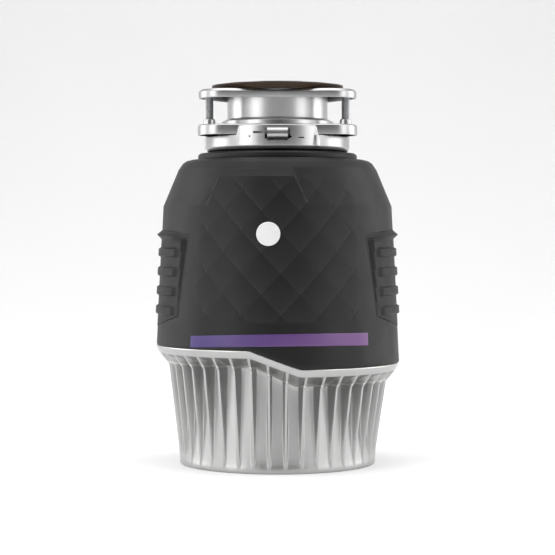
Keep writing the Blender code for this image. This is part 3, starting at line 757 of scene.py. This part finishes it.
def grip_piece(side):
    fr = [0.0, 0.45, 0.8, 1.3, 2.2, 3.4, 4.6, 5.8, 7.0, 8.0, 9.0, 10.0, 11.2, 12.6, 14.5, 17.0, 20.0, 24.0, 28.0, 33.0, 38.0]
    cols = []
    for back in (False, True):
        part = [(back, d) for d in fr]
        cols += part if not back else part[::-1][1:]
    zs = [None, None, 0.2, 0.5, 0.8]
    body_z = []
    z = 127.5
    while z < 186.0:
        body_z.append(z)
        near = min(min(abs(z - lo), abs(z - hi)) for lo, hi in BARS)
        z += 0.45 if near < 1.9 else 1.3
    body_z += [187.5, 189.3]
    n = len(zs) + len(body_z) + 16
    pts, faces, idx = [], [], []

    def place(back, d, k):
        # height, then bearing, of grid point k on column d
        ref = 50.0 + d
        p_ref = ref if not back else 180.0 - ref
        low, top = grip_low(p_ref), grip_top(p_ref)
        if k < len(zs):
            z = (low, low + 0.6)[k] if k < 2 else mix(low + 0.6, 127.5, zs[k])
        elif k < len(zs) + len(body_z):
            z = body_z[k - len(zs)]
        else:
            u = (k - len(zs) - len(body_z)) / 15.0
            z = mix(190.3, top, u)
        e = grip_edge(z)
        f = e + 0.35 + (90.0 - e - 0.35) * d / 40.0 if d < 38.0 else None
        if f is None:
            f = e + 0.35 + (90.0 - e - 0.35) * 38.0 / 40.0
        return f, z, p_ref

    for skin in (0, 1):
        for back, d in cols:
            for k in range(n):
                f, z, p_ref = place(back, d, k)
                p = (f if not back else 180.0 - f)
                h = grip_height(f, z, p_ref)
                if skin == 0:
                    h = -1.2
                else:
                    h = max(h, -1.05)
                    if k == 0 or k == n - 1 or d == 0.0:
                        h = -0.5
                    elif k == 1 or k == n - 2 or d == 0.45:
                        h = max(h, 0.12)
                a = math.radians(side * p - 90.0)
                r = draft_r(z) + h
                pts.append((r * math.cos(a), r * math.sin(a), z))
    nu = len(cols)
    half = nu * n
    for i in range(nu - 1):
        for k in range(n - 1):
            c = (i * n + k, i * n + k + 1, (i + 1) * n + k + 1, (i + 1) * n + k)
            faces.append(c)
            faces.append(tuple(half + v for v in c))
            # border cells of the pad get the near-black strip: painted shadow in the groove
            edge = i in (0, nu - 2) or k in (0, n - 2)
            d0, d1 = cols[i][1], cols[i + 1][1]
            f0, z0, _p = place(cols[i][0], (d0 + d1) / 2, k)
            # faces of the sloping wedge in front of the pad get the darker copy: painted shade
            wedge = f0 < 53.4 and z0 < grip_top(_p) - 6.5
            idx += [0, 1 if edge else (2 if wedge else 0)]
    rim = [i * n for i in range(nu)] + [(nu - 1) * n + k for k in range(1, n)]
    rim += [i * n + n - 1 for i in range(nu - 2, -1, -1)] + [k for k in range(n - 2, 0, -1)]
    # the side walls round the pad get the near-black strip too: painted shadow
    for v, w in zip(rim, rim[1:] + rim[:1]):
        faces.append((v, w, half + w, half + v))
        idx.append(1)
    tag = "left" if side < 0 else "right"
    return piece("grip_pad_" + tag, pts, faces, [GRIP, SEAM_SHADOW, GRIP_WEDGE_SHADE], "housing", ["side_grip_" + tag], "grip_plastic", sharp=28, index=idx)


grip_piece(-1.0)
grip_piece(1.0)


# ------------------------------------------------------------------ printed band and badge
def band_edges(p):
    t = p / 50.0
    return 105.3 + 1.0 * t - 2.2 * t * t, 115.1 + 1.5 * t - 2.1 * t * t


def band():
    us = [-43.3 + 1.0 * i for i in range(90)]
    vs = [0.0, 0.03, 0.2, 0.4, 0.6, 0.8, 0.97, 1.0]
    pts, faces = [], []
    for skin in (0.05, 0.55):
        for i, p in enumerate(us):
            low, high = band_edges(p)
            for k, v in enumerate(vs):
                z = mix(low, high, v)
                h = skin
                if skin > 0.1 and (k in (0, len(vs) - 1) or i in (0, len(us) - 1)):
                    h -= 0.12
                a = math.radians(p - 90.0)
                r = draft_r(z) + h
                pts.append((r * math.cos(a), r * math.sin(a), z))
    nu, n = len(us), len(vs)
    half = nu * n
    for i in range(nu - 1):
        for k in range(n - 1):
            c = (i * n + k, i * n + k + 1, (i + 1) * n + k + 1, (i + 1) * n + k)
            faces += [c, tuple(half + v for v in c)]
    rim = [i * n for i in range(nu)] + [(nu - 1) * n + k for k in range(1, n)]
    rim += [i * n + n - 1 for i in range(nu - 2, -1, -1)] + [k for k in range(n - 2, 0, -1)]
    for v, w in zip(rim, rim[1:] + rim[:1]):
        faces.append((v, w, half + w, half + v))
    return pts, faces


pts, faces = band()
piece("violet_band", pts, faces, VIOLET, "housing", ["trim_band"], "violet_print", sharp=40)


def badge():
    pts, faces = [], []
    rings = [(9.5, 0.1), (9.7, 0.3), (9.7, 0.6), (9.45, 0.8), (7.6, 0.82), (7.3, 0.7), (7.0, 0.82), (4.0, 0.85), (0.01, 0.86)]
    count = 72
    for r0, h in rings:
        for i in range(count):
            t = math.radians(360.0 / count * i)
            z = 195.6 + r0 * math.sin(t)
            a = math.radians(-4.3 - 90.0) + r0 * math.cos(t) / draft_r(z)
            pts.append(((draft_r(z) + h) * math.cos(a), (draft_r(z) + h) * math.sin(a), z))
    for k in range(len(rings) - 1):
        for i in range(count):
            j = (i + 1) % count
            faces.append((k * count + i, k * count + j, (k + 1) * count + j, (k + 1) * count + i))
    faces.append(tuple(range((len(rings) - 1) * count, len(rings) * count)))
    faces.append(tuple(reversed(range(count))))
    return pts, faces


pts, faces = badge()
piece("round_badge", pts, faces, WHITE, "housing", ["badge_disc"], "white_print", sharp=40)

# ------------------------------------------------------------------ top ring
loop = rounded([(46.0, 256.4), (66.1, 256.4), (66.1, 259.0), (68.1, 259.0), (68.1, 262.7), (66.6, 264.2), (47.0, 264.2), (46.0, 263.4)],
               [0.2, 0.2, 0.3, 0.5, 0.6, 0.6, 0.3, 0.3], 3)
pts, faces = turned(even(144), loop)
piece("collar_ring", pts, faces, BLACK, "housing", ["top_ring"], "black_plastic")

# ------------------------------------------------------------------ sink mount
ROUND = even(160)
loop = rounded([(40.8, 264.8), (44.6, 264.8), (45.0, 265.2), (45.0, 271.8), (49.5, 272.1), (49.5, 281.0), (46.4, 284.5),
                (46.3, 288.5), (41.4, 288.5), (41.4, 283.0), (38.8, 283.0), (38.8, 279.3), (45.3, 279.3), (45.3, 275.7), (40.8, 275.7)],
               [0.3, 0.3, 0.3, 0.5, 0.9, 1.2, 1.2, 0.8, 0.4, 0.3, 0.3, 0.3, 0.2, 0.2, 0.3], 3)
pts, faces = turned(ROUND, loop)
piece("mount_gasket", pts, faces, RUBBER, "housing", ["mounting_gasket"], "black_rubber")

loop = rounded([(41.2, 289.0), (43.0, 289.0), (43.0, 317.5), (47.5, 319.0), (55.6, 321.9), (56.5, 322.1), (56.5, 322.5), (54.8, 322.7),
                (46.6, 320.3), (41.2, 316.2), (41.2, 312.3), (42.2, 312.3), (42.2, 307.7), (41.2, 307.7)],
               [0.2, 0.3, 1.5, 3.0, 0.3, 0.15, 0.15, 1.2, 2.5, 2.0, 0.1, 0.1, 0.1, 0.1], 4)
pts, faces = turned(ROUND, loop)
piece("sink_sleeve", pts, faces, STEEL, "housing", ["sink_flange"], "stainless")

loop = rounded([(41.25, 308.0), (41.9, 308.0), (41.9, 312.0), (41.25, 312.0)], 0.15, 2)
pts, faces = turned(even(120), loop)
piece("light_ring", pts, faces, LIGHT, "housing", ["led_light_ring"], "light_diffuser")

loop = rounded([(47.9, 317.5), (50.2, 317.5), (56.3, 321.1), (56.3, 321.65), (55.4, 321.5), (47.9, 318.5)], [0.2, 0.3, 0.15, 0.1, 0.2, 0.1], 3)
pts, faces = turned(ROUND, loop)
piece("sink_gasket", pts, faces, FIBRE, "housing", ["fiber_gasket"], "brown_fibre")

loop = rounded([(43.5, 289.7), (45.4, 289.7), (45.4, 291.0), (43.5, 291.0)], 0.35, 3)
snap_angles = [2.5 + 355.0 * i / 119 for i in range(120)]
pts, faces = turned(snap_angles, loop)
n = len(loop)
faces = [f for f in faces if not (min(f) < n and max(f) >= n * 119)]
faces += [tuple(range(n)), tuple(reversed(range(n * 119, n * 120)))]
piece("retaining_ring", pts, faces, STEEL_DULL, "housing", ["snap_ring"], "stainless")

LOBED = even(180)


def upper_ring(a):
    t = lobed_r(a, 52.5, 21.8, 51.6)
    return rounded([(46.9, 285.6), (t - 1.8, 285.6), (t - 1.8, 278.8), (t, 278.8), (t, 286.4), (t - 1.1, 287.6), (48.1, 287.6),
                    (48.1, 291.4), (43.5, 293.8), (43.3, 292.9), (46.9, 290.8)],
                   [0.3, 0.6, 0.3, 0.3, 1.2, 1.0, 0.6, 0.8, 0.3, 0.3, 0.5], 3)


def backup(a):
    t = lobed_r(a, 52.5, 21.3)
    return rounded([(43.5, 315.4), (t - 1.9, 315.4), (t - 1.9, 309.8), (t - 0.3, 309.8), (t, 315.0), (t - 2.2, 317.3), (43.5, 317.3)],
                   [0.2, 0.8, 0.4, 0.4, 1.6, 1.8, 0.2], 4)


SCREWS = [(66.0 * math.cos(math.radians(a)), 66.0 * math.sin(math.radians(a))) for a in LOBES]
pts, faces = turned(LOBED, upper_ring)
upper = piece("clamp_ring", pts, faces, STEEL, None)
for at in SCREWS:
    boss = turned(even(36, 2.1), rounded([(0.0, 286.2), (5.6, 286.2), (5.2, 287.8), (4.7, 291.6), (4.4, 292.0), (0.0, 292.0)], [0, 0.1, 0.8, 0.4, 0.2, 0], 2), at)
    apply_boolean(upper, [cutter(*boss)], "UNION")
apply_boolean(upper, [cutter(*rod_points(3.7, 270, 300, at, 36)) for at in SCREWS])
resmooth(upper, 32)
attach(upper, "housing")
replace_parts(upper, "upper_mounting_ring")
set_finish(upper, "stainless")

pts, faces = turned(LOBED, backup)
piece("backing_flange", pts, faces, STEEL, "housing", ["backup_flange"], "stainless", sharp=32)


def ring_top(a):
    d = min(abs((a - m + 180.0) % 360.0 - 180.0) for m in (30.0, 150.0, 270.0))
    t = smooth((d - 31.0) / 3.0)
    return 286.0 - 7.8 * t


lock_angles = sorted(set([round(x, 3) for x in even(144)] + [round(m + s * d, 3) for m in (30.0, 150.0, 270.0) for s in (-1, 1)
                                                             for d in (30.8, 31.4, 32.0, 33.0, 33.6, 34.1)]))


def lower_ring(a):
    t = ring_top(a)
    return rounded([(45.5, 269.4), (57.2, 265.6), (60.2, 266.0), (61.7, 269.0), (61.7, t), (59.7, t), (59.7, 270.4), (57.6, 268.3), (45.5, 271.6)],
                   [0.3, 1.4, 1.4, 1.6, 0.9, 0.6, 1.0, 1.0, 0.3], 3)


pts, faces = turned(lock_angles, lower_ring)
lower = piece("twist_ring", pts, faces, STEEL, None)
for m in (30.0, 150.0, 270.0):
    c, s = math.cos(math.radians(m)), math.sin(math.radians(m))
    apply_boolean(lower, [cutter(*tube_shape((60.2 * c, 60.2 * s, 278.6), (-s, c), 17.0, 6.0, 40))], "UNION")
    c, s = math.cos(math.radians(m + 32.2)), math.sin(math.radians(m + 32.2))
    roll = turned(even(32, 3.3), rounded([(0.0, 268.6), (3.9, 268.6), (3.9, 278.0), (0.0, 278.0)], [0, 0.8, 0.6, 0], 3), (58.6 * c, 58.6 * s))
    apply_boolean(lower, [cutter(*roll)], "UNION")
for m in (30.0, 150.0, 270.0):
    c, s = math.cos(math.radians(m)), math.sin(math.radians(m))
    apply_boolean(lower, [cutter(*tube_shape((60.2 * c, 60.2 * s, 278.6), (-s, c), 21.0, 4.3, 40))])
for m in (150.0, 270.0, 30.0):
    c, s = math.cos(math.radians(m)), math.sin(math.radians(m))

    def at_face(x, y, z):
        """x along the ear (left to right seen from outside), y outwards."""
        return (c * y - s * x, s * y + c * x, z)

    shapes = []
    for x0, x1, z0, z1 in ((-20.2, -11.4, 279.0, 280.6), (17.2, 22.2, 274.9, 275.9), (10.3, 11.7, 275.2, 276.8), (-23.9, -22.6, 275.9, 277.2)):
        pts8 = [at_face(x, y, z) for z in (z0, z1) for x, y in ((x0, 52.0), (x1, 52.0), (x1, 66.0), (x0, 66.0))]
        shapes.append(cutter(pts8, [(0, 1, 2, 3), (4, 5, 6, 7), (0, 1, 5, 4), (1, 2, 6, 5), (2, 3, 7, 6), (3, 0, 4, 7)]))
    apply_boolean(lower, shapes)
resmooth(lower, 32)
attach(lower, "lock_ring")
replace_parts(lower, "lower_mounting_ring")
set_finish(lower, "stainless")

# ---- threaded screws ----


def threaded(at, low, high, radius, pitch, head_z):
    """A slotted screw: a plain head with a slot, then a helical thread."""
    count = 28
    angles = even(count)
    zs = [low + (high - low) * i / int((high - low) / (pitch / 6)) for i in range(int((high - low) / (pitch / 6)) + 1)]
    pts, faces = [], []

    def ring_at(z, r_of):
        base = len(pts)
        for a in angles:
            r = r_of(a)
            pts.append((at[0] + r * math.cos(math.radians(a)), at[1] + r * math.sin(math.radians(a)), z))
        return base

    def thread(a, z):
        ph = ((z - low) / pitch - a / 360.0) % 1.0
        return radius - 0.45 * abs(2.0 * ph - 1.0) ** 1.2 * min(1.0, (high - z) / 0.8 + 0.35)

    rings = []
    for z, r in ((head_z, radius - 0.5), (head_z + 0.35, radius), (low - 0.5, radius), (low - 0.1, radius - 0.5)):
        rings.append(ring_at(z, lambda a, r=r: r))
    for z in zs:
        taper = max(0.0, z - (high - 1.4)) / 1.4
        rings.append(ring_at(z, lambda a, z=z, taper=taper: thread(a, z) - 1.0 * taper))
    for r0, r1 in zip(rings, rings[1:]):
        for i in range(count):
            j = (i + 1) % count
            faces.append((r0 + i, r0 + j, r1 + j, r1 + i))
    faces.append(tuple(range(rings[0], rings[0] + count)))
    faces.append(tuple(range(rings[-1], rings[-1] + count)))
    return pts, faces


for tag, at in zip(("rear", "left", "right"), SCREWS):
    pts, faces = threaded(at, 284.0, 315.0, 3.45, 1.0, 279.6)
    screw = piece("screw_" + tag, pts, faces, ZINC, None, sharp=50)
    a = math.radians({"rear": 20, "left": 65, "right": -35}[tag])
    ux, uy = math.cos(a), math.sin(a)
    slot = [(at[0] + ux * l - uy * w, at[1] + uy * l + ux * w, z) for z in (278.0, 281.0) for l, w in ((-5, -0.55), (5, -0.55), (5, 0.55), (-5, 0.55))]
    apply_boolean(screw, [cutter(slot, [(0, 1, 2, 3), (4, 5, 6, 7), (0, 1, 5, 4), (1, 2, 6, 5), (2, 3, 7, 6), (3, 0, 4, 7)])])
    resmooth(screw, 50)
    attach(screw, "screw_" + tag)
    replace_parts(screw, "mounting_screw_" + tag)
    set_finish(screw, "zinc_screw")


# ---- splash baffle: a rubber dish whose middle is slit into flaps ----
def baffle(a):
    d = abs((a + 22.5) % 45.0 - 22.5)           # 0 on a slit
    slit = 1.0 - smooth((d - 1.2) / 1.2)
    dip = 0.9 * math.cos(math.radians(4 * 2 * a)) * 0.4
    return [(17.0 + 1.0 * slit, 285.3 - dip), (23.0, 284.9 - dip * 0.8 + 0.55 * slit), (32.0, 284.1 + 0.45 * slit), (38.3, 283.4), (38.9, 283.25), (40.4, 283.25), (40.8, 283.7),
            (40.8, 299.5), (40.4, 300.0), (39.2, 300.0), (38.8, 299.5), (38.8, 287.4), (38.2, 286.6), (36.0, 286.3),
            (32.0, 286.3 - 0.75 * slit), (23.0, 286.9 - dip * 0.8 - 0.75 * slit), (17.4 + 1.0 * slit, 287.0 - dip - 0.3 * slit)]


pts, faces = turned(even(192), baffle)
piece("slit_baffle", pts, faces, RUBBER, "baffle", ["splash_baffle"], "black_rubber", sharp=40)

# ------------------------------------------------------------------ the other pieces: CAD outlines with finished edges


def refined(node, material, bevel=0.3, sharp=32, name=None, segments=2):
    """A finished copy that stands for the CAD node: flats merged, edges rounded, smooth where it is round."""
    src = NODES[node]
    mesh = src.data.copy()
    mesh.materials.clear()
    mesh.materials.append(material)
    work = bmesh.new()
    work.from_mesh(mesh)
    bmesh.ops.remove_doubles(work, verts=work.verts, dist=2e-6)
    bmesh.ops.dissolve_limit(work, angle_limit=math.radians(0.8), verts=work.verts, edges=work.edges, use_dissolve_boundaries=False)
    bmesh.ops.recalc_face_normals(work, faces=work.faces)
    work.to_mesh(mesh)
    work.free()
    for poly in mesh.polygons:
        poly.material_index = 0
    mesh.shade_smooth()
    mesh.set_sharp_from_angle(angle=math.radians(sharp))
    obj = bpy.data.objects.new(name or node + "_finished", mesh)
    bpy.context.scene.collection.objects.link(obj)
    if bevel:
        add_bevel(obj, bevel, segments, sharp)
    slot = src.get("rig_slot")
    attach(obj, body_of(src)[0])
    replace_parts(obj, node)
    return obj


MATERIAL_OF = {
    "upper_end_bell": (CAST_RAW, 0.4), "grind_container": (STEEL_IN, 0.0), "shredder_ring": (STEEL_IN, 0.25), "turntable": (STEEL_IN, 0.35),
    "turntable_nut": (ZINC, 0.4), "impeller_a": (STEEL_DULL, 0.5), "impeller_b": (STEEL_DULL, 0.5),
    "impeller_rivet_a": (ZINC, 0.3), "impeller_rivet_b": (ZINC, 0.3), "motor_shaft": (STEEL_DULL, 0.3),
    "rotor_core": (LAMS, 0.0), "stator_core": (LAMS, 0.0), "rotor_end_ring_low": (CAST_RAW, 0.3), "rotor_end_ring_high": (CAST_RAW, 0.3),
    "centrifugal_actuator": (GREY, 0.3), "start_switch": (DARK, 0.4), "start_capacitor": (DARK, 0.4), "lower_bearing": (BRONZE, 0.2),
    "upper_bearing": (BRONZE, 0.2), "shaft_seal": (RUBBER, 0.3), "overload_protector": (DARK, 0.4), "reset_button": (RED, 0.4),
    "terminal_cover": (STEEL_DULL, 0.3), "terminal_cover_screw": (ZINC, 0.25), "ground_screw": (GREEN, 0.3), "cord_gland": (DARK, 0.5),
    "dishwasher_plug": (DARK, 0.3), "sound_insulation": (FOAM, 0.0),
}
shown = {n for o in bpy.context.scene.objects for n in o.get("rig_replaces", [])}
for node in sorted(NODES):
    if node in shown:
        continue
    if node in MATERIAL_OF:
        material, bevel = MATERIAL_OF[node]
    elif node.startswith("end_bell_bolt"):
        material, bevel = ZINC, 0.3
    elif "winding" in node:
        material, bevel = COPPER, 0.0
    elif "end_ring" in node:
        material, bevel = CAST_RAW, 0.3
    else:
        print("no finish chosen for", node)
        material, bevel = GREY, 0.2
    refined(node, material, bevel)

# ------------------------------------------------------------------ floor, light and camera
floor_mesh = bpy.data.meshes.new("floor")
rows = [(-6.0, 0.0), (1.2, 0.0)] + [(1.2 + 1.2 * math.sin(math.radians(t)), 1.2 - 1.2 * math.cos(math.radians(t))) for t in range(6, 91, 6)] + [(2.4, 5.0)]
fp = [(x, y, z) for y, z in rows for x in (-7.0, 7.0)]
floor_mesh.from_pydata(fp, [], [(2 * i, 2 * i + 1, 2 * i + 3, 2 * i + 2) for i in range(len(rows) - 1)])
floor_mesh.shade_smooth()
floor = bpy.data.objects.new("floor", floor_mesh)
bpy.context.scene.collection.objects.link(floor)
floor_mat = finish_of("pale_paper", (0.86, 0.86, 0.86), 0.9, 0.0, vary=0.01, rough_vary=0.02, patch=200, grain=2.0, bump=0.05, depth=0.02, specular=0.1)
floor_mat.node_tree.nodes["Principled BSDF"].inputs["Emission Color"].default_value = (1.0, 1.0, 1.0, 1.0)
floor_mat.node_tree.nodes["Principled BSDF"].inputs["Emission Strength"].default_value = 0.10
floor_mesh.materials.append(floor_mat)

world = bpy.data.worlds.new("studio")
bpy.context.scene.world = world
world.use_nodes = True
nt = world.node_tree
background = nt.nodes["Background"]
coords = nt.nodes.new("ShaderNodeTexCoord")
parts = nt.nodes.new("ShaderNodeSeparateXYZ")
nt.links.new(coords.outputs["Generated"], parts.inputs["Vector"])
run = nt.nodes.new("ShaderNodeMapRange")
run.inputs["From Min"].default_value = -0.98
run.inputs["From Max"].default_value = -0.30
nt.links.new(parts.outputs["Y"], run.inputs["Value"])
ramp = nt.nodes.new("ShaderNodeValToRGB")
ramp.color_ramp.elements[0].color = (0.05, 0.05, 0.05, 1.0)
ramp.color_ramp.elements[1].color = (1.0, 1.0, 1.0, 1.0)
nt.links.new(run.outputs["Result"], ramp.inputs["Fac"])
nt.links.new(ramp.outputs["Color"], background.inputs["Color"])
background.inputs["Strength"].default_value = 1.0


def area(name, at, aim, size, power, size_y=None, colour=(1.0, 1.0, 1.0)):
    data = bpy.data.lights.new(name, "AREA")
    data.shape = "RECTANGLE"
    data.size = size
    data.size_y = size_y or size
    data.energy = power
    data.color = colour
    lamp = bpy.data.objects.new(name, data)
    lamp.location = at
    lamp.rotation_euler = (Vector(aim) - Vector(at)).to_track_quat("-Z", "Y").to_euler()
    bpy.context.scene.collection.objects.link(lamp)
    return lamp


area("key_left", (-1.5, -1.3, 0.75), (0.0, 0.0, 0.16), 1.0, 11.0, 1.5)
area("key_right", (1.6, -1.1, 0.7), (0.0, 0.0, 0.16), 0.8, 7.0, 1.5)
area("side_left", (-1.5, 0.35, 0.6), (0.0, 0.0, 0.18), 0.9, 9.0, 1.4)
area("side_right", (1.5, 0.35, 0.6), (0.0, 0.0, 0.18), 0.9, 9.0, 1.4)
area("top", (0.0, -0.1, 1.6), (0.0, 0.0, 0.1), 1.4, 10.0)

camera_data = bpy.data.cameras.new("camera")
camera = bpy.data.objects.new("camera", camera_data)
bpy.context.scene.collection.objects.link(camera)
camera.location = (0.0, -1.53, 0.194)
camera.rotation_euler = (math.radians(90.0), 0.0, 0.0)
camera_data.sensor_width = 36.0
camera_data.lens = 115.5
camera_data.shift_y = -0.075
camera_data.clip_end = 50.0
bpy.context.scene.camera = camera

bpy.context.scene.view_settings.view_transform = "Standard"
